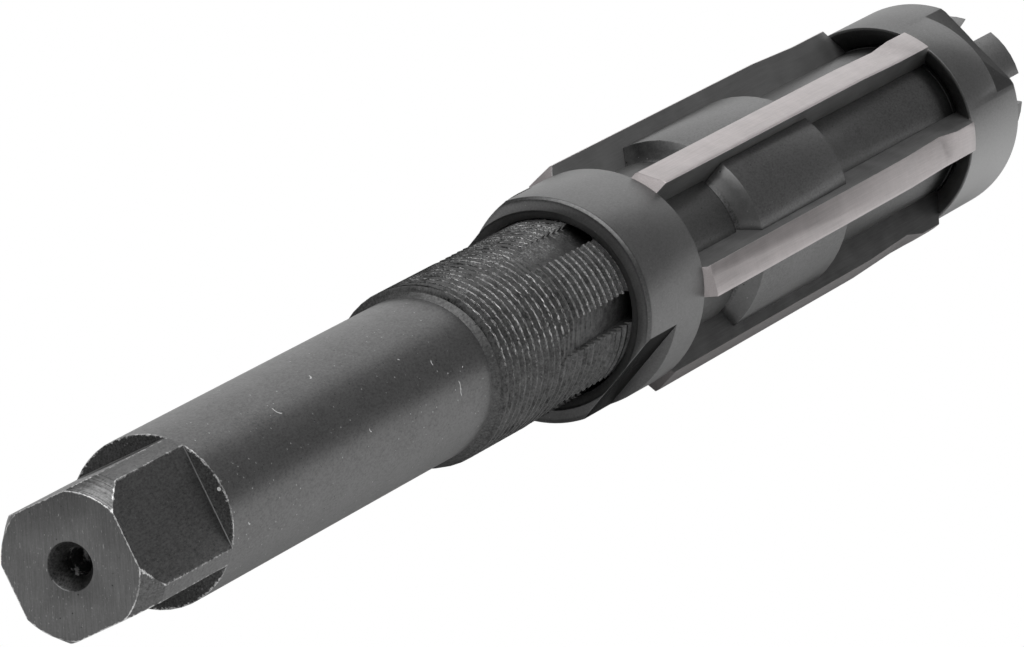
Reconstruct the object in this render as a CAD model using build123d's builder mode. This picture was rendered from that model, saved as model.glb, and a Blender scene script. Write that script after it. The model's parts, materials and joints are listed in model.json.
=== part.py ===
from build123d import *
from math import acos, atan, cos, radians, sin, tan
import os

os.makedirs("parts", exist_ok=True)

# Adjustable hand reamer lying on its two nuts. Millimetres, +Z up.
# Its axis runs along +X from the drive square to the cutting end.
# The origin lies on the ground under the middle of its length.
# A station is a distance along the axis from the face of the drive square.
# A turn is an angle about the axis, from straight up towards -Y.

# lengths of the body along its axis, from the square end
square_length = 18.0
end_chamfer = 3.2
shank_length = 80.2
thread_lead_in = 1.4
rear_thread_length = 49.9
rear_neck_length = 13.8
undercut_length = 1.3
undercut_slope_length = 0.4
collar_cone_length = 1.3
collar_length = 25.3
collar_front_chamfer = 0.4
front_neck_length = 38.3
front_thread_length = 15.5
pilot_length = 8.2
pilot_end_chamfer = 0.2

# radii and depths of the body
shank_radius = 9.0
end_chamfer_depth = 1.4
square_across = 14.0
square_turn = 65.0
thread_radius = 10.0
rear_neck_depth = 0.05
front_neck_depth = 0.1
undercut_depth = 0.45
collar_height = 1.9
pilot_depth = 0.8

# centre holes
rear_centre_radius = 2.55
rear_hole_radius = 1.5
front_centre_radius = 2.2
front_hole_radius = 1.2
centre_hole_length = 6.0
centre_half_angle = 30.0

# tapered slots: the floor comes nearer the axis towards the cutting end
blade_count = 6
first_blade_turn = 36.3
slot_taper = 1 / 22
slot_depth = 1.78
slot_runout_length = 21.6
slot_level_length = 6.3
cutter_radius = 62.5
cutting_clearance = 1.0

# blades: the cutting face of each lies on a plane through the axis
blade_width = 3.38
blade_side_gap = 0.03
blade_floor_gap = 0.02
blade_projection = 1.08
blade_seat_length = 3.2
lead_length = 12.0
lead_drop = 0.35
runout_length = 6.5
tip_length = 2.9
tip_drop = 0.33
bevel_angle = 45.0
margin_width = 0.35
relief_drop = 1.1
lead_relief_drop = 1.14
relief_end_gap = 0.01
grinding_allowance = 1.0
grinding_sweep = 60.0

# nuts
nut_wall = 2.65
nut_thread_gap = 0.05
nut_edge_chamfer = 0.3
nut_flat_depth = 1.65
nut_mouth_gap = 0.04
recess_step = 1.1
recess_depth = 1.0
rear_nut_length = 15.0
rear_nut_inset = 2.65
rear_nut_rim = 0.21
rear_nut_flat_length = 7.6
rear_nut_turn = 132.0
front_nut_length = 15.0
front_nut_overhang = 1.5
front_nut_rim = 0.32
front_nut_flat_length = 5.6
front_nut_turn = 45.0

# slopes
bevel_slope = tan(radians(bevel_angle))
centre_slope = tan(radians(centre_half_angle))
floor_angle = atan(slot_taper)

# stations of the body
cone_end = shank_length
thread_start = cone_end + thread_lead_in
rear_thread_end = thread_start + rear_thread_length
undercut_start = rear_thread_end + rear_neck_length
collar_cone_start = undercut_start + undercut_length
collar_start = collar_cone_start + collar_cone_length
collar_end = collar_start + collar_length
front_thread_start = collar_end + front_neck_length
front_thread_end = front_thread_start + front_thread_length
overall_length = front_thread_end + pilot_length

# radii that follow the thread and the shank
end_face_radius = shank_radius - end_chamfer_depth
rear_neck_radius = thread_radius - rear_neck_depth
front_neck_radius = thread_radius - front_neck_depth
undercut_radius = rear_neck_radius - undercut_depth
collar_radius = thread_radius + collar_height
pilot_radius = thread_radius - pilot_depth
nut_radius = thread_radius + nut_wall
nut_bore_radius = thread_radius + nut_thread_gap
nut_flats_across = 2 * (nut_radius - nut_flat_depth)
recess_radius = nut_bore_radius + recess_step
rear_mouth_radius = nut_radius - rear_nut_rim
front_mouth_radius = nut_radius - front_nut_rim
cutting_radius = nut_radius + blade_projection
lead_radius = cutting_radius - lead_drop
tip_radius = cutting_radius - tip_drop

# stations of the nuts and the blades between them
rear_nut_end = rear_thread_end - rear_nut_inset
rear_nut_start = rear_nut_end - rear_nut_length
front_nut_start = front_thread_start - front_nut_overhang
front_nut_end = front_nut_start + front_nut_length
blade_rear = rear_nut_end - blade_seat_length
blade_front = front_nut_start + blade_seat_length
rear_bevel_station = rear_nut_end + (cutting_radius + nut_mouth_gap - rear_mouth_radius) / bevel_slope
front_bevel_station = front_nut_start - (tip_radius + nut_mouth_gap - front_mouth_radius) / bevel_slope
tip_start = front_bevel_station - tip_length
lead_end = tip_start - runout_length
lead_start = lead_end - lead_length
cutter_station = thread_start + slot_runout_length
floor_level_station = blade_front + slot_level_length

# the frame
axis_height = nut_radius
end_x = -overall_length / 2
axis_point = (end_x, 0, axis_height)
reamer_axis = Axis(axis_point, (1, 0, 0))
profile_plane = Plane(origin=axis_point, x_dir=(1, 0, 0), z_dir=(0, -1, 0))


def cross_plane(station, turn=0):
    """Plane square to the axis at a station, with its local y pointing out at a turn."""
    angle = radians(turn)
    origin = (end_x + station, 0, axis_height)
    return Plane(origin=origin, x_dir=(0, cos(angle), sin(angle)), z_dir=(1, 0, 0))


def radial_plane(turn, side=0):
    """Plane along the axis at a turn: local x along the axis, local y outwards.

    It stands off the axis by the side distance, towards greater turns.
    """
    angle = radians(turn)
    origin = (end_x, -side * cos(angle), axis_height - side * sin(angle))
    return Plane(origin=origin, x_dir=(1, 0, 0), z_dir=(0, -cos(angle), -sin(angle)))


def floor_at(station):
    """Height of the slot floor above the axis."""
    return thread_radius - slot_depth - (station - blade_rear) * slot_taper


blade_turns = [first_blade_turn + 360 / blade_count * i for i in range(blade_count)]

# Body: one bar with the square, shank, threads, collar and slots.
# The threads are left plain at their outside radius.
with BuildPart() as reamer_body:
    with BuildSketch(profile_plane):
        with BuildLine():
            Polyline(
                (0, 0),
                (0, end_face_radius),
                (end_chamfer, shank_radius),
                (cone_end, shank_radius),
                (thread_start, thread_radius),
                (rear_thread_end, thread_radius),
                (rear_thread_end, rear_neck_radius),
                (undercut_start, rear_neck_radius),
                (undercut_start + undercut_slope_length, undercut_radius),
                (collar_cone_start - undercut_slope_length, undercut_radius),
                (collar_cone_start, rear_neck_radius),
                (collar_start, collar_radius),
                (collar_end - collar_front_chamfer, collar_radius),
                (collar_end, collar_radius - collar_front_chamfer),
                (collar_end, front_neck_radius),
                (front_thread_start, front_neck_radius),
                (front_thread_start, thread_radius),
                (front_thread_end, thread_radius),
                (front_thread_end + pilot_depth, pilot_radius),
                (overall_length - pilot_end_chamfer, pilot_radius),
                (overall_length, pilot_radius - pilot_end_chamfer),
                (overall_length, 0),
                close=True,
            )
        make_face()
    revolve(axis=reamer_axis)

    # four flats of the drive square, up to a square shoulder
    with BuildSketch(cross_plane(0)):
        Circle(2 * shank_radius)
        Rectangle(square_across, square_across, rotation=square_turn, mode=Mode.SUBTRACT)
    extrude(amount=square_length, mode=Mode.SUBTRACT)

    # centre holes in both ends
    rear_cone_depth = (rear_centre_radius - rear_hole_radius) / centre_slope
    front_cone_depth = (front_centre_radius - front_hole_radius) / centre_slope
    with BuildSketch(profile_plane):
        with BuildLine():
            Polyline(
                (0, 0),
                (0, rear_centre_radius),
                (rear_cone_depth, rear_hole_radius),
                (centre_hole_length, rear_hole_radius),
                (centre_hole_length + rear_hole_radius * centre_slope, 0),
                close=True,
            )
        make_face()
    revolve(axis=reamer_axis, mode=Mode.SUBTRACT)
    with BuildSketch(profile_plane):
        with BuildLine():
            Polyline(
                (overall_length, 0),
                (overall_length, front_centre_radius),
                (overall_length - front_cone_depth, front_hole_radius),
                (overall_length - centre_hole_length, front_hole_radius),
                (overall_length - centre_hole_length - front_hole_radius * centre_slope, 0),
                close=True,
            )
        make_face()
    revolve(axis=reamer_axis, mode=Mode.SUBTRACT)

    # tapered slots: the round cutter leaves the bar in an arc behind the rear nut
    cutter_x = cutter_station + cutter_radius * sin(floor_angle)
    cutter_y = floor_at(cutter_station) + cutter_radius * cos(floor_angle)
    clear_height = collar_radius + cutting_clearance
    clear_end = overall_length + cutting_clearance
    exit_angle = acos((cutter_y - clear_height) / cutter_radius)
    middle_angle = (exit_angle + floor_angle) / 2
    arc_start = (cutter_x - cutter_radius * sin(exit_angle), clear_height)
    arc_middle = (
        cutter_x - cutter_radius * sin(middle_angle),
        cutter_y - cutter_radius * cos(middle_angle),
    )
    arc_end = (cutter_station, floor_at(cutter_station))
    with BuildSketch(*[radial_plane(turn, blade_side_gap) for turn in blade_turns]):
        with BuildLine():
            ThreePointArc(arc_start, arc_middle, arc_end)
            Polyline(
                arc_end,
                (floor_level_station, floor_at(floor_level_station)),
                (clear_end, floor_at(floor_level_station)),
                (clear_end, clear_height),
                arc_start,
            )
        make_face()
    extrude(amount=-blade_width - 2 * blade_side_gap, mode=Mode.SUBTRACT)

reamer_body.part.label = "reamer_body"
export_step(reamer_body.part, "parts/reamer_body.step")

# Rear nut: cone mouth towards the blades, wrench flats from its rear face.
with BuildPart() as rear_nut:
    with BuildSketch(profile_plane):
        with BuildLine():
            Polyline(
                (rear_nut_start, recess_radius),
                (rear_nut_start, nut_radius - nut_edge_chamfer),
                (rear_nut_start + nut_edge_chamfer, nut_radius),
                (rear_nut_end, nut_radius),
                (rear_nut_end, rear_mouth_radius),
                (rear_nut_end - (rear_mouth_radius - nut_bore_radius) / bevel_slope, nut_bore_radius),
                (rear_nut_start + recess_depth, nut_bore_radius),
                close=True,
            )
        make_face()
    revolve(axis=reamer_axis)
    with BuildSketch(cross_plane(rear_nut_start)):
        Circle(2 * nut_radius)
        Rectangle(5 * nut_radius, nut_flats_across, rotation=rear_nut_turn, mode=Mode.SUBTRACT)
    extrude(amount=rear_nut_flat_length, mode=Mode.SUBTRACT)
rear_nut.part.label = "rear_nut"
export_step(rear_nut.part, "parts/rear_nut.step")

# Front nut: the same shape turned round, with its cone mouth towards the blades.
with BuildPart() as front_nut:
    with BuildSketch(profile_plane):
        with BuildLine():
            Polyline(
                (front_nut_end, recess_radius),
                (front_nut_end, nut_radius - nut_edge_chamfer),
                (front_nut_end - nut_edge_chamfer, nut_radius),
                (front_nut_start, nut_radius),
                (front_nut_start, front_mouth_radius),
                (front_nut_start + (front_mouth_radius - nut_bore_radius) / bevel_slope, nut_bore_radius),
                (front_nut_end - recess_depth, nut_bore_radius),
                close=True,
            )
        make_face()
    revolve(axis=reamer_axis)
    with BuildSketch(cross_plane(front_nut_end)):
        Circle(2 * nut_radius)
        Rectangle(5 * nut_radius, nut_flats_across, rotation=front_nut_turn, mode=Mode.SUBTRACT)
    extrude(amount=-front_nut_flat_length, mode=Mode.SUBTRACT)
front_nut.part.label = "front_nut"
export_step(front_nut.part, "parts/front_nut.step")

# Blades: flat bars with a tapered underside, ground to the cutting radius.
# Each end has a bevel that fits the cone of its nut.
rear_tip_radius = cutting_radius - (rear_bevel_station - blade_rear) * bevel_slope
front_tip_radius = tip_radius - (blade_front - front_bevel_station) * bevel_slope
blank_height = cutting_radius + grinding_allowance
blank_top = blank_height + cutting_clearance
margin_top = (cutting_radius**2 - margin_width**2) ** 0.5
lead_margin_top = (lead_radius**2 - margin_width**2) ** 0.5
side_room = blade_width + cutting_clearance
relief_reach = (side_room - margin_width) / (blade_width - margin_width)
relief_low = margin_top - relief_drop * relief_reach
lead_relief_low = lead_margin_top - lead_relief_drop * relief_reach
relief_end_height = tip_radius + relief_end_gap

# heights of the relief's two sides where its slope changes
relief_line = {
    lead_start: (margin_top, relief_low),
    lead_end: (lead_margin_top, lead_relief_low),
    tip_start: (relief_end_height, relief_end_height),
}

for index, turn in enumerate(blade_turns, start=1):
    with BuildPart() as blade:
        # bar behind the cutting face, with its underside parallel to the slot floor
        with BuildSketch(radial_plane(turn)):
            with BuildLine():
                Polyline(
                    (blade_rear, floor_at(blade_rear) + blade_floor_gap),
                    (blade_front, floor_at(blade_front) + blade_floor_gap),
                    (blade_front, blank_height),
                    (blade_rear, blank_height),
                    close=True,
                )
            make_face()
        extrude(amount=-blade_width)

        # ground outside: two bevels, the cutting length, the lead and the tip
        with BuildSketch(radial_plane(turn - grinding_sweep / 2)):
            with BuildLine():
                Polyline(
                    (blade_rear, 0),
                    (blade_rear, rear_tip_radius),
                    (rear_bevel_station, cutting_radius),
                    (lead_start, cutting_radius),
                    (lead_end, lead_radius),
                    (tip_start, tip_radius),
                    (front_bevel_station, tip_radius),
                    (blade_front, front_tip_radius),
                    (blade_front, 0),
                    close=True,
                )
            make_face()
        revolve(axis=reamer_axis, revolution_arc=grinding_sweep, mode=Mode.INTERSECT)

        # relief behind the cutting edge, which runs out before the tip
        with BuildSketch(cross_plane(blade_rear - cutting_clearance, turn)):
            with BuildLine():
                Polyline(
                    (margin_width, margin_top),
                    (side_room, relief_low),
                    (side_room, blank_top),
                    (margin_width, blank_top),
                    close=True,
                )
            make_face()
        extrude(amount=lead_start - blade_rear + cutting_clearance, mode=Mode.SUBTRACT)
        for first, last in ((lead_start, lead_end), (lead_end, tip_start)):
            for station in (first, last):
                near_height, far_height = relief_line[station]
                with BuildSketch(cross_plane(station, turn)):
                    with BuildLine():
                        Polyline(
                            (margin_width, near_height),
                            (side_room, far_height),
                            (side_room, blank_top),
                            (margin_width, blank_top),
                            close=True,
                        )
                    make_face()
            loft(ruled=True, mode=Mode.SUBTRACT)
    blade.part.label = f"blade_{index}"
    export_step(blade.part, f"parts/blade_{index}.step")
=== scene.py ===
# %% [markdown]
# An adjustable hand reamer is a round steel bar with six loose blades in tapered slots,
# held between two nuts. This lesson dresses the solids of such a tool: it cuts the fine
# thread, breaks the sharp edges, and gives each steel surface the finish of the real one.
# The first step loads the solids. They stay where they are, and everything else is
# placed by them.

import json
import math

import bpy
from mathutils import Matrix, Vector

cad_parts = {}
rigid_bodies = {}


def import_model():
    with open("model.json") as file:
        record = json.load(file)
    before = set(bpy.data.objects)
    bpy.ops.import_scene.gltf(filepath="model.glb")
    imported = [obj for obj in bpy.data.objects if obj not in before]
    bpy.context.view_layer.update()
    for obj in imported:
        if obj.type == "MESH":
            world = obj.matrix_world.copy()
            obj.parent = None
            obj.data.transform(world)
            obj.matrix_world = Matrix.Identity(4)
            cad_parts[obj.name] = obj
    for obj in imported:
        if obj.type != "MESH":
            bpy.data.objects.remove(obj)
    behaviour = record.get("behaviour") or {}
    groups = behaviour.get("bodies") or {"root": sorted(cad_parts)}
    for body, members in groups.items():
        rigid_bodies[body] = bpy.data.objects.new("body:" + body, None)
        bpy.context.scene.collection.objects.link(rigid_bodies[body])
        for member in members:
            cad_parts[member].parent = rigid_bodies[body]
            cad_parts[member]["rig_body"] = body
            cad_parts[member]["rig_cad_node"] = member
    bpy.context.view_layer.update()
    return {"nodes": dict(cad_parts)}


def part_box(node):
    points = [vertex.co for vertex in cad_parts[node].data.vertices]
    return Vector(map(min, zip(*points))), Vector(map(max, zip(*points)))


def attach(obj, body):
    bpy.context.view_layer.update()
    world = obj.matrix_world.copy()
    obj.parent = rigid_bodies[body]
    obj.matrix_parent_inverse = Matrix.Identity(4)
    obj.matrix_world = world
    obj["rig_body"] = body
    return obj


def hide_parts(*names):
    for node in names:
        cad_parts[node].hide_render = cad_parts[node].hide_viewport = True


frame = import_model()
print("pieces:", ", ".join(sorted(frame["nodes"])))

# %% [markdown]
# Almost every surface of the tool is round about one axis, so places are easiest to say as
# a station along that axis, measured from the square end, and a radius. Both are written in
# millimetres here, and MM turns them into the metres of the scene. The turn of a blade or a
# flat is in degrees from straight up, towards the side that the camera sees.

# %% Stations, radii and turns
MM = 0.001
END_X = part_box("reamer_body")[0].x
nut_low, nut_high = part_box("rear_nut")
AXIS_Z = (nut_low.z + nut_high.z) / 2
VIEW_TURN = 62.0

SHANK_RADIUS = 9.0
CREST_RADIUS = 10.0


def station(x):
    """Distance of a place from the square end, along the axis, in millimetres."""
    return (x - END_X) / MM


BLADE_START = station(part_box("blade_1")[0].x)
print("axis height in mm:", round(AXIS_Z / MM, 3))
print("blades from station", round(BLADE_START, 2), "mm")

# %% [markdown]
# Shader maths is easier to read as ordinary sums than as a row of node calls. A small
# class stands for one socket and turns + - * / into Math nodes. Plain numbers are worked
# out by Python and never make a node.


# %% Shader values as ordinary numbers
class Value:
    """One number that changes over a surface."""

    def __init__(self, shader, socket):
        self.shader = shader
        self.socket = socket

    def maths(self, operation, *others, clamp=False):
        settings = {"operation": operation, "use_clamp": clamp}
        inputs = {index: other for index, other in enumerate((self, *others))}
        return self.shader.node("ShaderNodeMath", settings, inputs)

    def __add__(self, other):
        return self.maths("ADD", other)

    __radd__ = __add__

    def __mul__(self, other):
        return self.maths("MULTIPLY", other)

    __rmul__ = __mul__

    def __sub__(self, other):
        return self.maths("SUBTRACT", other)

    def __rsub__(self, other):
        return self.shader.node("ShaderNodeMath", {"operation": "SUBTRACT"}, {0: other, 1: self})

    def __truediv__(self, other):
        return self.maths("DIVIDE", other)

    def __pow__(self, other):
        return self.maths("POWER", other)

    def __abs__(self):
        return self.maths("ABSOLUTE")

    def greatest(self, *others):
        """The largest of this value and the others."""
        most = self
        for other in others:
            most = most.maths("MAXIMUM", other)
        return most

    def least(self, other):
        """The smaller of this value and another."""
        return self.maths("MINIMUM", other)

    def held(self):
        """The value kept between 0 and 1."""
        return self.maths("MULTIPLY", 1.0, clamp=True)

    def rise(self, start, end):
        """0 up to start and 1 from end on, with a soft slope between them."""
        settings = {"interpolation_type": "SMOOTHSTEP"}
        inputs = {"Value": self, "From Min": start, "From Max": end, "To Min": 0.0, "To Max": 1.0}
        return self.shader.node("ShaderNodeMapRange", settings, inputs)

    def fall(self, start, end):
        """1 up to start and 0 from end on."""
        return 1.0 - self.rise(start, end)

    def near(self, middle, half_width):
        """1 close to a middle value and 0 a half width away from it."""
        return abs(self - middle).fall(half_width * 0.5, half_width)

    def beside(self, output):
        """Another output of the same node."""
        return Value(self.shader, self.socket.node.outputs[output])


print("words for shader sums:", ", ".join(word for word in vars(Value) if word[0] != "_"))

# %% [markdown]
# The shader class keeps one material's nodes. One method adds any node: its settings go in
# first, because they can change which sockets it has, and then its inputs, each a number, a
# colour or another node's output.


# %% One material and its nodes
class Shader:
    """The nodes of one material."""

    def __init__(self, name):
        self.material = bpy.data.materials.new(name)
        self.material.use_nodes = True
        self.tree = self.material.node_tree
        self.tree.nodes.clear()

    def node(self, kind, settings=None, inputs=None, output=None):
        """Adds a node and returns the output that is asked for, or else the first in use."""
        made = self.tree.nodes.new(kind)
        for name, setting in (settings or {}).items():
            setattr(made, name, setting)
        for name, given in (inputs or {}).items():
            socket = made.inputs[name]
            if isinstance(given, Value):
                self.tree.links.new(given.socket, socket)
            else:
                socket.default_value = given
        if output is not None:
            return Value(self, made.outputs[output])
        in_use = [socket for socket in made.outputs if socket.enabled]
        return Value(self, in_use[0]) if in_use else None

    def end(self, surface):
        """Hands the last shader to the material."""
        self.node("ShaderNodeOutputMaterial", None, {"Surface": surface})
        return self.material

    def split(self, vector):
        """The three numbers of a vector."""
        x = self.node("ShaderNodeSeparateXYZ", None, {0: vector}, "X")
        return x, x.beside("Y"), x.beside("Z")

    def joined(self, x, y, z):
        return self.node("ShaderNodeCombineXYZ", None, {0: x, 1: y, 2: z})

    def noise(self, where, scale, detail=3.0, roughness=0.55):
        inputs = {"Vector": where, "Scale": scale, "Detail": detail, "Roughness": roughness}
        return self.node("ShaderNodeTexNoise", None, inputs, "Fac")

    def cells(self, where, scale):
        """Distance to the nearest of many scattered points."""
        return self.node("ShaderNodeTexVoronoi", None, {"Vector": where, "Scale": scale}, "Distance")

    def mix(self, share, first, second):
        """A colour or a direction between two others."""
        return self.node("ShaderNodeMix", {"data_type": "RGBA"}, {0: share, 6: first, 7: second}, 2)

    def surface(self, color, roughness, relief, metallic, relief_depth, tint=0.75, normal=None):
        """Ends the material as steel. The relief runs from 0 to 1 over its depth in mm."""
        bump = {"Strength": 1.0, "Distance": relief_depth * MM, "Height": relief}
        if normal is not None:
            bump["Normal"] = normal
        inputs = {
            "Base Color": color,
            "Roughness": roughness,
            "Metallic": metallic,
            "Specular Tint": (tint, tint, tint, 1.0),
            "Normal": self.node("ShaderNodeBump", None, bump),
        }
        return self.end(self.node("ShaderNodeBsdfPrincipled", None, inputs))


def grey(level, warmth=0.0):
    """A grey colour; warmth shifts it a little towards pink."""
    return (level * (1 + warmth), level, level, 1.0)


print("a warm grey:", [round(part, 3) for part in grey(0.5, 0.1)])

# %% [markdown]
# Every finish asks the same things of a point: its station, its height above the axis, its
# distance from the axis, and the side of the tool that it lies on. One class works them out
# from the object's own coordinates, so each mark stays with the metal, from every side and
# at every pose. Masks made from these places need no painting by hand.


# %% Places on the tool
class ToolPlace:
    """Where a point of the surface is, in millimetres."""

    def __init__(self, shader):
        self.shader = shader
        coordinates = shader.node("ShaderNodeTexCoord", output="Object")
        scaled = {0: coordinates, "Scale": 1 / MM}
        self.where = shader.node("ShaderNodeVectorMath", {"operation": "SCALE"}, scaled)
        self.x, self.y, self.z = shader.split(self.where)
        self.along = self.x - END_X / MM
        self.up = self.z - AXIS_Z / MM
        self.out = (self.y * self.y + self.up * self.up) ** 0.5

    def facing(self, turn):
        """1 at a turn round the axis, 0 a quarter turn away and -1 behind."""
        angle = math.radians(turn)
        return (self.up * math.cos(angle) - self.y * math.sin(angle)) / self.out

    def side(self, turn_from_view, start, full):
        """1 on a side of the tool. Start and full say how directly a point faces that way."""
        return self.facing(VIEW_TURN + turn_from_view).rise(start, full)

    def band(self, start, full, fading, end):
        """A band along the tool that fades in and out between four stations."""
        return self.along.rise(start, full) * self.along.fall(fading, end)

    def round_from(self, turn):
        """How far a point lies round the bar from a turn."""
        angle = math.radians(turn)
        return self.y * -math.cos(angle) - self.up * math.sin(angle)

    def noise(self, scale, detail=3.0, roughness=0.55, squeeze=None):
        """Noise on the surface. A squeeze above 1 makes its marks shorter along that axis."""
        where = self.where
        if squeeze:
            x, y, z = squeeze
            where = self.shader.joined(self.x * x, self.y * y, self.z * z)
        return self.shader.noise(where, scale, detail, roughness)

    def round_normal(self, share):
        """The true normal of a cylinder round the axis where share is 1, else the mesh's own."""
        radial = self.shader.joined(0.0, self.y / self.out, self.up / self.out)
        settings = {"vector_type": "NORMAL", "convert_from": "OBJECT", "convert_to": "WORLD"}
        turned = self.shader.node("ShaderNodeVectorTransform", settings, {"Vector": radial})
        own = self.shader.node("ShaderNodeNewGeometry", output="Normal")
        return self.shader.mix(share, own, turned)


def gap_to(first, first_place, second, second_place):
    """Distance to a line whose two places across it are known."""
    return ((first - first_place) ** 2.0 + (second - second_place) ** 2.0) ** 0.5


print("the camera sees the side turned", VIEW_TURN, "degrees from straight up")

# %% [markdown]
# Blackened steel is dark and half glossy. Seen close, it is clouded and mottled, with a fine
# grain, a few bright specks and small pits. They come from noise and cell textures, whose
# scales are counted per millimetre.

# %% Marks that all the dark steel shares
BLACK = 0.135
BARE = 0.70
# The last level is the near-white of the painted glints on the thread's crests.
PAINTED_GLINT_LEVEL = 0.95
PIT_SHIFT = (31.0, 7.0, 3.0)


def steel_marks(place, amount=1.0):
    """Clouds, mottling, grain, specks and pits, each between 0 and 1."""
    shader = place.shader
    cloud = place.noise(0.16, 3.0, 0.6)
    mottle = place.noise(0.9, 4.0, 0.65)
    grain = place.noise(4.2, 2.0, 0.75, squeeze=(0.5, 1.0, 1.0))
    chance = place.noise(0.5, 2.0)
    speck = shader.cells(place.where, 1.3).fall(0.07, 0.14) * chance.rise(0.50, 0.56) * amount
    moved = shader.node("ShaderNodeVectorMath", {"operation": "ADD"}, {0: place.where, 1: PIT_SHIFT})
    pit = shader.cells(moved, 1.1).fall(0.06, 0.12) * chance.fall(0.42, 0.48) * amount
    return cloud, mottle, grain, speck.held(), pit.held()


print("levels of black, bare and polished steel:", BLACK, BARE, PAINTED_GLINT_LEVEL)

# %% [markdown]
# A few fibres of dust lie on the shank. Each one is a short piece of a small ring.

# %% Dust fibres
FIBRE_WIDTH = 0.08
# Station, place round the bar, size of the ring, and the turn of the piece that shows.
FIBRES = (
    (72.3, 2.6, 0.50, 10.0),
    (73.0, 3.4, 0.40, 190.0),
    (69.1, -0.7, 0.30, 200.0),
    (37.0, -4.1, 0.62, 150.0),
    (21.7, 4.5, 0.25, 120.0),
    (47.5, -5.6, 0.35, 60.0),
    (51.0, 2.2, 0.28, 140.0),
    (70.9, 0.9, 0.10, 60.0),
    (74.6, 1.2, 0.10, 240.0),
    (63.5, -2.6, 0.14, 300.0),
)


def dust_fibres(place):
    """1 on the fibres."""
    fibres = 0.0
    for fibre_station, fibre_round, size, lean in FIBRES:
        ahead = place.along - fibre_station
        aside = place.round_from(VIEW_TURN) - fibre_round
        ring = (ahead * ahead + aside * aside) ** 0.5
        angle = math.radians(lean)
        reach = ahead * math.cos(angle) + aside * math.sin(angle)
        fibres = ring.near(size, FIBRE_WIDTH) * reach.rise(0.5 * size, 0.65 * size) + fibres
    return fibres.held() * place.side(0.0, 0.0, 0.1)


print("fibres of dust:", len(FIBRES))

# %% [markdown]
# The bar is one piece with several finishes: the end face is ground, the chamfer and the
# shank are turned, the flats of the square are milled. Each face has its place, known from
# the sizes of the bar, and a mask that is 1 on it. The flats come in two pairs, square to
# each other, so one pair of distances tells which face or corner of the square is near.

# %% Faces of the bar
SQUARE_HALF = 7.0
SQUARE_LENGTH = 18.0
SQUARE_TURN = 65.0
END_FACE_RADIUS = 7.6
END_CHAMFER = 3.2
HOLE_RADIUS = 2.55
# The stations where each band of the bar starts, is full, starts to fade and ends.
BANDS = {
    "shank": (18.05, 18.08, 80.10, 80.15),
    "lead_in": (80.0, 80.3, 81.4, 81.7),
    "thread": (81.0, 81.6, 130.0, 130.5),
    "undercut": (144.9, 145.2, 146.5, 146.7),
    "collar_cone": (146.5, 146.7, 147.8, 148.0),
    "in_front_nut": (207.6, 209.4, 224.0, 226.0),
}


def across_square(place):
    """How far a point is from the axis across the flats: the longer way and the shorter."""
    turn = math.radians(SQUARE_TURN)
    first = abs(place.y * math.cos(turn) + place.up * math.sin(turn))
    second = abs(place.up * math.cos(turn) - place.y * math.sin(turn))
    return first.greatest(second), first.least(second)


def bar_faces(place, wide):
    """Each face of the bar, by name."""
    along, out = place.along, place.out
    end = along.fall(0.02, 0.06)
    cone = along.fall(END_CHAMFER - 0.1, END_CHAMFER) * wide.fall(SQUARE_HALF - 0.03, SQUARE_HALF)
    flat = abs(wide - SQUARE_HALF).fall(0.01, 0.03) * along.fall(SQUARE_LENGTH - 0.1, SQUARE_LENGTH)
    step = along.near(SQUARE_LENGTH, 0.10) * wide.rise(SQUARE_HALF + 0.05, SQUARE_HALF + 0.12)
    faces = {name: place.band(*stations) for name, stations in BANDS.items()}
    faces["end"] = end
    faces["chamfer"] = (cone - end).held()
    faces["flat"] = flat * (1.0 - end)
    faces["shoulder"] = step * out.fall(SHANK_RADIUS - 0.12, SHANK_RADIUS - 0.05)
    faces["hole"] = out.fall(HOLE_RADIUS - 0.05, HOLE_RADIUS) * place.band(0.06, 0.2, 8.0, 9.0)
    return faces


print("the square is", 2 * SQUARE_HALF, "mm across flats and", SQUARE_LENGTH, "mm long")

# %% [markdown]
# The square takes the knocks of the wrench, so its corners and rims have lost their black
# in ragged lines. Each line follows an edge: it is bare close to the edge, and noise moves
# its border to and fro.


# %% Bare edges of the square
def bare_edges(place, wide, narrow):
    """Bare metal along the edges of the square."""
    along, out = place.along, place.out
    ragged = place.noise(2.4, 4.0, 0.75) - 0.5
    broken = place.noise(0.9, 2.0).rise(0.40, 0.55)

    def edge_line(gap, wander, bare, black):
        """Bare up to one distance from the edge and black from another on."""
        return (gap - ragged * wander).fall(bare, black)

    half_land = math.sqrt(SHANK_RADIUS**2 - SQUARE_HALF**2)
    corner = edge_line(gap_to(wide, SQUARE_HALF, narrow, half_land), 0.9, 0.02, 0.13)
    corner = corner * along.fall(SQUARE_LENGTH - 0.1, SQUARE_LENGTH)
    round_rim = edge_line(gap_to(along, 0.0, out, END_FACE_RADIUS), 0.5, 0.03, 0.12)
    flat_rim = edge_line(gap_to(along, 0.0, wide, SQUARE_HALF), 0.5, 0.03, 0.12)
    step_rim = edge_line(gap_to(along, SQUARE_LENGTH, out, SHANK_RADIUS), 1.3, 0.03, 0.18)
    step_rim = step_rim * wide.rise(SQUARE_HALF, SQUARE_HALF + 0.3)
    cone_radius = END_FACE_RADIUS + along * ((SHANK_RADIUS - END_FACE_RADIUS) / END_CHAMFER)
    cone_rim = edge_line(gap_to(wide, SQUARE_HALF, out, cone_radius), 0.6, 0.01, 0.09)
    cone_rim = cone_rim * along.fall(END_CHAMFER, END_CHAMFER + 0.1)
    return (corner * broken * 0.5).greatest(
        round_rim * (0.3 + broken * 0.7),
        flat_rim * 0.9,
        step_rim * (0.25 + broken * 0.75),
        cone_rim * broken,
    )


print("each corner runs", SQUARE_LENGTH - END_CHAMFER, "mm, from the chamfer to the shoulder")
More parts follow.
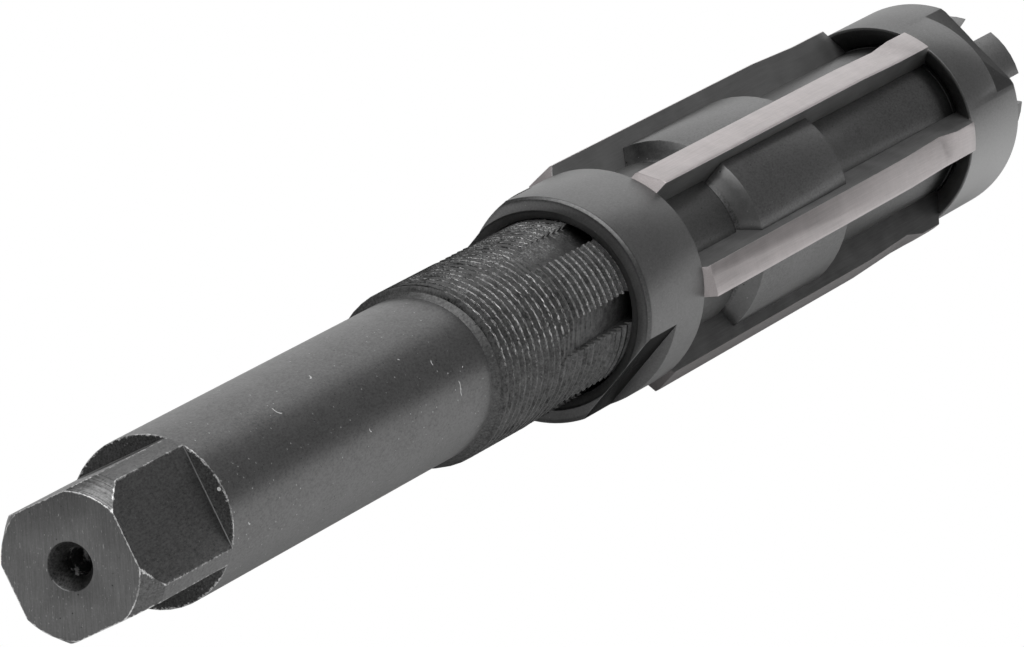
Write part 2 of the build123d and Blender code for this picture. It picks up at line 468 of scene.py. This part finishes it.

# %% [markdown]
# The nut is turned up and down the thread, which rubs the crests bright. The bare metal is broken
# into dashes that run along each crest, so the noise is squeezed along the axis. The dashes are
# painted stronger on the side that the camera sees and near the nut, which is painted glint, and
# weaker on the lower side, which is painted shade. On one side a haze of fine scratches, partly a
# painted sheen, lies over crests and grooves, and the few brightest dashes are painted glints.

# %% Wear and painted glints of the thread
ALONG_CRESTS = (4.0, 1.0, 1.0)


def thread_wear(place, threaded):
    """The crests, a side with painted shade, a side with scratches and painted sheen, the worn metal
    with painted glints, and the brightest painted glints.
    """
    crest = place.out.rise(CREST_RADIUS - 0.07, CREST_RADIUS - 0.01) * threaded
    # Painted shade and light: on the upper side the crests are painted darker and the grooves lighter,
    # and fewer dashes show, which evens out the lamp's crest lines.
    shade_painted_side = place.side(-78.0, 0.72, 0.95) * threaded
    # Scratches on the upper side, partly a painted sheen that lifts that side.
    scratch_and_sheen_side = place.side(-56.0, 0.88, 0.97) * threaded * place.along.rise(82.5, 84.5)
    # Painted glint: the crest dashes are painted brighter on the side that the camera sees, and near
    # the nut on a side close to it.
    painted_glint_side = place.side(-6.0, 0.86, 0.97) * place.along.fall(97.0, 101.0)
    glint_side_near_nut = place.side(-3.0, 0.86, 0.98) * place.along.rise(99.0, 103.0)
    dashes = place.noise(2.2, 4.0, 0.85, ALONG_CRESTS).rise(0.53, 0.60)
    painted_glint = place.noise(2.0, 2.0, 0.6, ALONG_CRESTS).rise(0.58, 0.64)
    scratches = place.noise(4.5, 2.0, 0.7).rise(0.50, 0.62)
    patches = place.noise(0.3, 2.0).rise(0.42, 0.58)
    dashed = crest * dashes * (0.15 + patches * 0.35 + painted_glint_side * 0.5) * (1.0 - shade_painted_side * 0.8)
    # Painted highlight: bright crest lines near the nut on one side, with some scratches.
    painted_sheen = crest * glint_side_near_nut * (0.18 + scratches * 0.6)
    haze = scratches * scratch_and_sheen_side * patches * (0.30 + crest * 0.5)
    # Painted shade: the bare metal is dimmed on the lower side.
    bare = dashed.greatest(painted_sheen, haze) * (1.0 - place.side(75.0, 0.5, 0.9) * 0.6)
    return crest, shade_painted_side, scratch_and_sheen_side, bare, painted_glint * crest * (painted_glint_side + scratch_and_sheen_side * 0.6)


print("crests at a radius of", CREST_RADIUS, "mm")

# %% [markdown]
# Each way of machining leaves its own lines. Grinding draws fine straight lines over the
# end face, turning leaves rings on the chamfer, and milling leaves short coarse marks on
# the flats. The shoulder has one small chip, seen as a bright ring.

# %% Marks of the machining
CHIP_PLACE = (-7.67, 3.80)
CHIP_SIZE = 0.12


def machining_marks(place, cloud):
    """Grinding lines, bright flecks, turned rings, milling marks and scuffs."""
    rings = place.shader.joined(place.out * 9.0, place.along * 9.0, cloud * 2.0)
    ground = place.noise(1.5, 3.0, 0.7, squeeze=(1.0, 5.0, 0.3))
    flecks = place.noise(1.6, 2.0, 0.8, squeeze=(1.0, 4.0, 0.9)).rise(0.66, 0.72)
    turned = place.shader.noise(rings, 1.0, 2.0)
    milled = place.noise(1.6, 4.0, 0.8, squeeze=(0.8, 3.0, 3.0))
    scuffs = place.noise(2.2, 3.0, 0.7, squeeze=(0.7, 2.0, 1.0)).rise(0.61, 0.67)
    return ground, flecks, turned, milled, scuffs


def shoulder_chip(place):
    """The chip's ring, at its place across and up from the axis."""
    across, up = CHIP_PLACE
    return gap_to(place.y, across, place.up, up).near(CHIP_SIZE, CHIP_SIZE)


print("the chip lies", round(math.hypot(*CHIP_PLACE), 2), "mm from the axis")

# %% [markdown]
# The bar's finish adds all of this up. The tone is the share of the black's full level that a point
# has, and each mark takes a little away from it or adds to it. Some of them are painted shade: the
# top of the shank, the shoulder, the lead-in, the hole, the undercut, the collar's cone and the part
# inside the front nut are painted darker. The bare metal goes over it. Dust and worn metal scatter
# light, so they are made less metallic than the rest. The shank's normal is worked out from the axis,
# because long mesh strips of unequal width would show as streaks in such an even cylinder.


# %% Finish of the bar
def bar_steel():
    place = ToolPlace(Shader("blackened_bar_steel"))
    shader = place.shader
    cloud, mottle, grain, speck, pit = steel_marks(place)
    wide, narrow = across_square(place)
    on = bar_faces(place, wide)
    crest, shade_painted_side, scratch_and_sheen_side, wear_and_glints, painted_glint = thread_wear(place, on["thread"])
    ground, flecks, turned, milled, scuffs = machining_marks(place, cloud)

    calm = (on["collar_cone"] + on["in_front_nut"] + on["end"]) * 0.8
    tone = 0.62 + cloud * 0.28 + mottle * 0.28 + (grain - 0.5) * (1.1 - calm) - pit * 0.5
    # Painted shade: the top of the shank is darker.
    shaded_shank_top = on["shank"] * place.side(-60.0, 0.6, 0.95)
    tone = tone - shaded_shank_top * (0.10 + (mottle - 0.5) * 0.4) - on["shank"] * scuffs * 0.16
    ringed = on["chamfer"] * (0.25 + place.side(-42.0, 0.0, 0.5) * 0.75)
    tone = tone + ringed * (turned - 0.5) * 1.8 - on["chamfer"] * 0.25
    tone = tone + on["end"] * ((ground - 0.5) * 0.7 - 0.08) + on["flat"] * (milled - 0.60) * 1.2
    # The scratched side of the thread is painted a little lighter, partly painted sheen.
    tone = tone + on["thread"] * ((mottle - 0.5) * 0.8 + scratch_and_sheen_side * 0.1 - 0.34)
    # Painted shade and light on the upper side of the thread: darker crests, lighter grooves.
    tone = tone - crest * (0.16 + shade_painted_side * 0.45) + shade_painted_side * (1.0 - crest) * 0.35
    # Painted shade: the shoulder, the lead-in, the hole, the inside of the front nut, the undercut and
    # the collar's cone are darker, the cone more on its upper side.
    tone = tone - on["shoulder"] * 0.45 - on["lead_in"] * 0.35 - on["hole"] * 0.30
    tone = tone - on["in_front_nut"] * 0.55 - on["undercut"] * 0.4
    tone = tone - on["collar_cone"] * (0.2 + place.side(-80.0, 0.7, 0.95) * 0.35)
    black = shader.mix(tone.held(), grey(0.0), grey(BLACK * 1.25))

    edges = bare_edges(place, wide, narrow)
    root_line = gap_to(place.along, SQUARE_LENGTH, wide, SQUARE_HALF).fall(0.05, 0.13)
    fibres = dust_fibres(place)
    # Painted glints: bright patches deep in the hole.
    painted_hole_glint = on["hole"] * place.along.rise(1.6, 2.0) * mottle.rise(0.52, 0.64)
    chip = shoulder_chip(place) * on["shoulder"]
    speck = speck * (0.15 + on["shank"] * 0.40)
    bare = wear_and_glints.greatest(edges * 0.95, speck, root_line * 0.3, flecks * on["end"] * 0.35)
    bare = bare.greatest(fibres * 0.8, painted_hole_glint * 0.9, chip).held()
    # Painted glints: the brightest crest dashes are near-white.
    color = shader.mix(painted_glint, shader.mix(bare, black, grey(BARE)), grey(PAINTED_GLINT_LEVEL))

    rough = 0.31 + mottle * 0.10 + on["end"] * 0.10 + on["thread"] * 0.12 + shade_painted_side * crest * 0.4
    rough = rough + (on["shoulder"] + on["lead_in"] + on["hole"]) * 0.2
    relief = mottle * 0.25 + grain * 0.35 - pit * 1.5
    relief = relief + on["end"] * ground * 0.8 + ringed * turned + on["flat"] * milled * 0.8
    scattered = wear_and_glints.greatest(fibres, edges * 0.5, speck, painted_hole_glint, chip, painted_glint)
    normal = place.round_normal(on["shank"])
    return shader.surface(color, rough, relief, 0.86 - scattered * 0.7, 0.012, normal=normal)


bar_finish = bar_steel()
print("bar finish has", len(bar_finish.node_tree.nodes), "nodes")

# %% [markdown]
# The nuts are turned, blackened and then handled, so they are smoother and a little lighter than the
# bar, with faint rings round the axis. Their wrench flats are milled. The flats are painted darker and
# less shiny at a low angle, the rear nut's more than the front nut's, which is painted shade, and the
# front nut is painted lighter on its lower side, a painted reflection of the paper. Each nut has two
# flats, on opposite sides.

# %% Finish of the nuts
FLAT_TURNS = {"rear_nut": 132.0, "front_nut": 45.0}
NUT_FLAT_HALF = 11.0
# The rim of the rear nut's rear face, painted darker as painted shade, and the recess inside that rim.
RIM_STATIONS, RIM_RADII = (114.2, 114.5), (12.0, 12.3)
RECESS_STATIONS, RECESS_RADII = (116.0, 118.0), (10.88, 10.96)
# The rear nut lies before these stations and the front nut beyond them.
BETWEEN_NUTS = (203.0, 209.0)


def nut_steel(name, black, tint):
    """Blackened steel of a given darkness. The tint is how much it shines at a low angle."""
    place = ToolPlace(Shader(name))
    shader, along, out = place.shader, place.along, place.out
    cloud, mottle, grain, speck, pit = steel_marks(place, 0.6)
    rings = shader.noise(shader.joined(place.x * 6.0, out * 6.0, 0.0), 1.0, 2.0)
    recess = along.fall(*RECESS_STATIONS) * out.fall(*RECESS_RADII)
    rear_rim = along.fall(*RIM_STATIONS) * out.rise(*RIM_RADII)
    # Painted reflection: the lower side of the front nut is lighter.
    painted_sheen = along.rise(*BETWEEN_NUTS) * place.side(85.0, 0.2, 0.95)
    tone = 0.70 + cloud * 0.22 + mottle * 0.20 + (grain - 0.5) * 0.6 + (rings - 0.5) * 0.12
    # Painted shade: the rear rim is darker.
    tone = tone - pit * 0.4 - rear_rim * 0.35
    bare = (speck * 0.25).greatest(painted_sheen * 0.40, recess * 0.06)
    color = shader.mix(bare, shader.mix(tone.held(), grey(0.0), grey(black)), grey(BARE))
    rough = 0.34 + mottle * 0.08 + recess * 0.2
    relief = mottle * 0.2 + grain * 0.25 + rings * 0.2 - pit * 1.2
    return shader.surface(color, rough, relief, 0.86, 0.010, tint)


nut_finish = nut_steel("blackened_nut_steel", BLACK * 1.4, 0.75)
# Painted shade: the flats get darker copies of the nut's steel, the rear nut's darker than the front
# nut's.
shaded_flat_finishes = {
    "rear_nut": nut_steel("rear_nut_flats", BLACK * 0.35, 0.12),
    "front_nut": nut_steel("front_nut_flats", BLACK * 0.9, 0.35),
}
print("nut finish has", len(nut_finish.node_tree.nodes), "nodes")

# %% [markdown]
# Only the outside of a blade is ground bright, in fine lines along its length. Its sides
# are duller, since they only have to slide in the slot. The two finishes are two materials,
# which go to the faces by their normals. The bevel at the rear end is rougher than the top,
# and painted a little darker, which is painted shade on its highlight. The top of the blade
# that lies lowest is painted darker, and the sides that face up are painted lighter, which
# is painted shade and light.

# %% Finishes of the blades
BEVEL_LENGTH = 4.4
BEVEL_END = BLADE_START + BEVEL_LENGTH


def blade_top_steel():
    place = ToolPlace(Shader("ground_blade_steel"))
    shader = place.shader
    lines = place.noise(1.0, 3.0, 0.65, squeeze=(0.15, 8.0, 8.0))
    cloud = place.noise(0.25)
    chatter = place.noise(1.0, 2.0, squeeze=(7.0, 1.0, 1.0))
    bevel = place.along.fall(BEVEL_END, BEVEL_END + 0.2)
    tone = 0.80 + (lines - 0.5) * 0.35 + (cloud - 0.5) * 0.30 + (chatter - 0.5) * 0.15
    # Painted shade: the top of the lowest blade is darker, and so is the bevel.
    tone = tone * (1.0 - place.side(88.0, 0.80, 0.97) * 0.6) * (1.0 - bevel * 0.2)
    color = shader.mix(tone.held(), grey(0.05), grey(0.57, 0.075))
    rough = 0.38 + cloud * 0.12 + bevel * 0.3
    return shader.surface(color, rough, lines * 0.6 + chatter * 0.4, 1.0, 0.006, 1.0)


def blade_side_steel():
    place = ToolPlace(Shader("dull_blade_steel"))
    shader = place.shader
    lines = place.noise(1.0, 3.0, 0.65, squeeze=(0.2, 5.0, 5.0))
    cloud = place.noise(0.3)
    lit_upper_side = place.side(-86.0, 0.6, 0.95)
    # Painted light: the sides that face up are lighter.
    tone = 0.40 + lit_upper_side * 0.4 + (lines - 0.5) * 0.3 + (cloud - 0.5) * 0.3
    color = shader.mix(tone.held(), grey(0.02), grey(0.32))
    rough = 0.42 + cloud * 0.12
    return shader.surface(color, rough, lines * 0.6 + cloud * 0.4, 0.9, 0.008)


blade_top_finish = blade_top_steel()
blade_side_finish = blade_side_steel()
print("blade bevels end at station", round(BEVEL_END, 2), "mm")

# %% [markdown]
# A piece starts as a copy of its solid. The copy's loose triangles are merged first, and
# flat neighbours are dissolved into whole faces, so that a bevel can run along the true
# edges. The bevel is only about a tenth of a millimetre wide: it is the broken edge that
# catches the light on any machined part.

# %% Helpers for working on one piece
SHARP = math.radians(32)
FLATTEN = math.radians(0.3)
WELD_REACH = 0.001 * MM


def only(piece):
    """Makes a piece the one that operators act on."""
    bpy.ops.object.select_all(action="DESELECT")
    piece.select_set(True)
    bpy.context.view_layer.objects.active = piece


def copy_of(node, name):
    """A merged copy of a solid, as a piece of its own."""
    only(frame["nodes"][node])
    bpy.ops.object.duplicate()
    piece = bpy.context.view_layer.objects.active
    piece.name = name
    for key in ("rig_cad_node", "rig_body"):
        del piece[key]
    piece.parent = None
    bpy.ops.object.mode_set(mode="EDIT")
    bpy.ops.mesh.select_all(action="SELECT")
    bpy.ops.mesh.remove_doubles(threshold=WELD_REACH)
    bpy.ops.mesh.customdata_custom_splitnormals_clear()
    bpy.ops.mesh.dissolve_limited(angle_limit=FLATTEN)
    bpy.ops.object.mode_set(mode="OBJECT")
    return piece


def break_edges(piece, width, segments):
    """Takes the sharpness off every edge, by a width in millimetres."""
    only(piece)
    bevel = piece.modifiers.new("broken_edges", "BEVEL")
    bevel.width = width * MM
    bevel.segments = segments
    bevel.limit_method = "ANGLE"
    bevel.angle_limit = SHARP
    bevel.miter_outer = "MITER_SHARP"
    bpy.ops.object.modifier_apply(modifier=bevel.name)


def dress(piece, *finishes):
    """Gives a piece its materials, the first one to every face."""
    piece.data.materials.clear()
    for finish in finishes:
        piece.data.materials.append(finish)


def settle(piece, body, node):
    """Smooth shading, the body that the piece rides on and the solid that it stands for."""
    only(piece)
    bpy.ops.object.shade_smooth_by_angle(angle=SHARP)
    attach(piece, body)
    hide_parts(node)
    print(piece.name, "has", len(piece.data.polygons), "faces")


print("edges sharper than", round(math.degrees(SHARP)), "degrees are broken")

# %% [markdown]
# The thread is a V groove that winds along the bar. Its cutter starts as a flat square, set
# on edge beside the bar: its lower edge is narrowed to the width of the root, and a Screw
# modifier winds it round the axis, one pitch a turn. The open ends are then filled, because
# a Boolean needs a closed cutter. Cutting it, and not painting it, gives each crest a real
# edge that glints.

# %% Cutter for the thread
PITCH = 1.5
ROOT_RADIUS = 9.25
CREST_FLAT = 0.40
ROOT_FLAT = 0.25
CUTTER_TOP = CREST_RADIUS + 0.3
STEPS_A_TURN = 72
MOST_END_SIDES = 8


def groove_profile():
    """A flat face with the groove's section, above the origin and square to the y axis."""
    width = (PITCH - CREST_FLAT) * MM
    bpy.ops.object.select_all(action="DESELECT")
    bpy.ops.mesh.primitive_plane_add(size=1.0, rotation=(math.radians(90), 0, 0))
    profile = bpy.context.object
    bpy.ops.object.transform_apply(rotation=True)
    bpy.ops.object.mode_set(mode="EDIT")
    bpy.ops.transform.resize(value=(width, 1, (CUTTER_TOP - ROOT_RADIUS) * MM))
    bpy.ops.transform.translate(value=(0, 0, (CUTTER_TOP + ROOT_RADIUS) / 2 * MM))
    bpy.ops.mesh.bisect(plane_co=(0, 0, CREST_RADIUS * MM), plane_no=(0, 0, 1))
    bpy.ops.mesh.select_all(action="SELECT")
    bpy.ops.mesh.dissolve_faces()
    bpy.ops.mesh.select_all(action="DESELECT")
    bpy.ops.object.mode_set(mode="OBJECT")
    for vertex in profile.data.vertices:
        vertex.select = vertex.co.z < (ROOT_RADIUS + CREST_RADIUS) / 2 * MM
    bpy.ops.object.mode_set(mode="EDIT")
    bpy.ops.transform.resize(value=(ROOT_FLAT * MM / width, 1, 1))
    bpy.ops.object.mode_set(mode="OBJECT")
    return profile


def thread_cutter(name, first, last):
    """The groove wound round the axis from one station to another."""
    cutter = groove_profile()
    cutter.name = name
    screw = cutter.modifiers.new("winding", "SCREW")
    screw.axis = "X"
    screw.angle = math.tau
    screw.screw_offset = PITCH * MM
    screw.iterations = round((last - first) / PITCH)
    screw.steps = STEPS_A_TURN
    screw.render_steps = STEPS_A_TURN
    screw.use_merge_vertices = False
    print(name, "winds", screw.iterations, "times round the bar")
    bpy.ops.object.modifier_apply(modifier=screw.name)
    bpy.ops.object.mode_set(mode="EDIT")
    bpy.ops.mesh.select_all(action="SELECT")
    bpy.ops.mesh.fill_holes(sides=MOST_END_SIDES)
    bpy.ops.mesh.select_all(action="SELECT")
    bpy.ops.mesh.normals_make_consistent(inside=False)
    bpy.ops.object.mode_set(mode="OBJECT")
    cutter.location = (END_X + first * MM, 0, AXIS_Z)
    bpy.ops.object.transform_apply(location=True)
    return cutter


def cut(piece, cutter):
    """Takes the cutter's form out of a piece, and removes the cutter."""
    only(piece)
    boolean = piece.modifiers.new("thread_cut", "BOOLEAN")
    boolean.operation = "DIFFERENCE"
    boolean.solver = "MANIFOLD"
    boolean.object = cutter
    bpy.ops.object.modifier_apply(modifier=boolean.name)
    bpy.data.objects.remove(cutter)


print("the groove is", CREST_RADIUS - ROOT_RADIUS, "mm deep and advances", PITCH, "mm a turn")

# %% [markdown]
# The bar gets its broken edges first and its threads after that, so that the crests stay
# crisp. One thread carries the rear nut and the other the front nut.

# %% The bar
bar = copy_of("reamer_body", "bar")
break_edges(bar, width=0.10, segments=2)
cut(bar, thread_cutter("rear_thread_cutter", first=79.6, last=128.9))
cut(bar, thread_cutter("front_thread_cutter", first=213.3, last=228.3))
dress(bar, bar_finish)
settle(bar, "reamer_body", "reamer_body")

# %% [markdown]
# The wrench flats of a nut are found by place: their faces lie half the width across flats
# away from the axis, in the direction of the flats.

# %% The two nuts
SQUARE_ON = 0.999
CLOSE = 0.02

for name, turn in FLAT_TURNS.items():
    nut = copy_of(name, name + "_turned")
    break_edges(nut, width=0.15, segments=3)
    dress(nut, nut_finish, shaded_flat_finishes[name])
    side, height = -math.sin(math.radians(turn)), math.cos(math.radians(turn))
    for face in nut.data.polygons:
        facing_flat = abs(face.normal.y * side + face.normal.z * height)
        reach = abs(face.center.y * side + (face.center.z - AXIS_Z) * height) / MM
        on_flat = facing_flat > SQUARE_ON and abs(reach - NUT_FLAT_HALF) < CLOSE
        face.material_index = int(on_flat)
    settle(nut, name, name)

# %% [markdown]
# The six blades are alike, so one loop makes them. Faces whose normal points away from the
# axis are the ground top, the lead, the bevels and the tip, and they take the bright finish.

# %% The six blades
BLADE_COUNT = 6
FIRST_BLADE_TURN = 30.0
OUTWARD_SHARE = 0.5

for index in range(BLADE_COUNT):
    node = f"blade_{index + 1}"
    turn = math.radians(FIRST_BLADE_TURN + index * 360 / BLADE_COUNT)
    outward = (0.0, -math.sin(turn), math.cos(turn))
    blade = copy_of(node, node + "_ground")
    break_edges(blade, width=0.05, segments=1)
    dress(blade, blade_side_finish, blade_top_finish)
    for face in blade.data.polygons:
        facing_out = sum(a * b for a, b in zip(face.normal, outward))
        face.material_index = int(facing_out > OUTWARD_SHARE)
    settle(blade, node, node)

# %% [markdown]
# The floor is plain and white. The camera sees it as white light, but soft light bounces
# off it as off ordinary white paper. Reflections in the steel get a little of the white
# light and mostly the paper, so the shade under the tool shows in its lower side.

# %% The floor
GLOSSY_SHARE = 0.25
PAPER = 0.85
FLOOR_RADIUS = 4.0
FLOOR_GAP = 0.2 * MM
FLOOR_SIDES = 96


def white_share(shader):
    """1 for rays straight from the camera or through glass, and less for reflections."""
    camera = shader.node("ShaderNodeLightPath", output="Is Camera Ray")
    glossy, clear = camera.beside("Is Glossy Ray"), camera.beside("Is Transmission Ray")
    return camera.greatest(glossy * GLOSSY_SHARE, clear)


def floor_paper():
    shader = Shader("white_paper")
    paper = shader.node("ShaderNodeBsdfDiffuse", None, {"Color": grey(PAPER)})
    glow = shader.node("ShaderNodeEmission", None, {"Color": grey(1.0), "Strength": 1.0})
    inputs = {0: white_share(shader), 1: paper, 2: glow}
    return shader.end(shader.node("ShaderNodeMixShader", None, inputs))


bpy.ops.object.select_all(action="DESELECT")
bpy.ops.mesh.primitive_circle_add(
    vertices=FLOOR_SIDES, radius=FLOOR_RADIUS, fill_type="NGON", location=(0, 0, -FLOOR_GAP)
)
floor = bpy.context.object
floor.name = "floor"
floor.data.materials.append(floor_paper())
print("the floor reaches", FLOOR_RADIUS, "m from the tool")

# %% [markdown]
# A round steel bar shows what stands round it as long bands. The white paper gives the lower
# band, a wide soft lamp behind the tool gives the upper one, and the unlit side of the room
# gives the dark band between them. A large lamp overhead lights the paper and the broken
# edges.

# %% Lamps and room
TARGET = (0.0, 0.0, AXIS_Z)
ROOM_LEVEL = 0.17


def soft_lamp(name, azimuth, elevation, distance, width, height, brightness):
    """A flat lamp that faces the tool. Its power grows with its area, so its brightness holds."""
    flat = math.cos(math.radians(elevation)) * distance
    place = (
        TARGET[0] + flat * math.cos(math.radians(azimuth)),
        TARGET[1] + flat * math.sin(math.radians(azimuth)),
        TARGET[2] + distance * math.sin(math.radians(elevation)),
    )
    turn = (math.radians(90 - elevation), 0, math.radians(azimuth + 90))
    bpy.ops.object.light_add(type="AREA", location=place, rotation=turn)
    lamp = bpy.context.object
    lamp.name = name
    lamp.data.shape = "RECTANGLE"
    lamp.data.size = width
    lamp.data.size_y = height
    lamp.data.energy = brightness * math.pi * width * height
    print(name, "gives", round(lamp.data.energy, 2), "W")


soft_lamp(
    "back_lamp", azimuth=20.0, elevation=24.0, distance=1.4, width=1.25, height=1.15, brightness=0.95
)
soft_lamp(
    "overhead_lamp", azimuth=-120.0, elevation=74.0, distance=1.3, width=1.6, height=1.6, brightness=2.7
)

world = bpy.data.worlds.new("studio")
bpy.context.scene.world = world
world.use_nodes = True
background = world.node_tree.nodes["Background"]
background.inputs["Color"].default_value = grey(1.0)
background.inputs["Strength"].default_value = ROOM_LEVEL
print("the room is grey, at", ROOM_LEVEL, "of white")

# %% [markdown]
# The camera stands far off with a long lens, so the tool shrinks only a little towards its
# far end. Its place is given from the square end, which is the end that it looks at.

# %% Camera
CAMERA_PLACE = (END_X - 0.753446, -0.397824, 0.224177)
CAMERA_TURN = (77.41268, 3.08454, -65.83698)
CAMERA_LENS = 316.0547
SENSOR_WIDTH = 36.0
NEAREST, FARTHEST = 0.01, 20.0
bpy.ops.object.camera_add(location=CAMERA_PLACE, rotation=[math.radians(a) for a in CAMERA_TURN])
camera = bpy.context.object
camera.data.lens = CAMERA_LENS
camera.data.sensor_width = SENSOR_WIDTH
camera.data.clip_start = NEAREST
camera.data.clip_end = FARTHEST
bpy.context.scene.camera = camera
bpy.context.scene.view_settings.view_transform = "Standard"
print("camera", round(math.dist(CAMERA_PLACE, TARGET), 3), "m from the tool")

# %% [markdown]
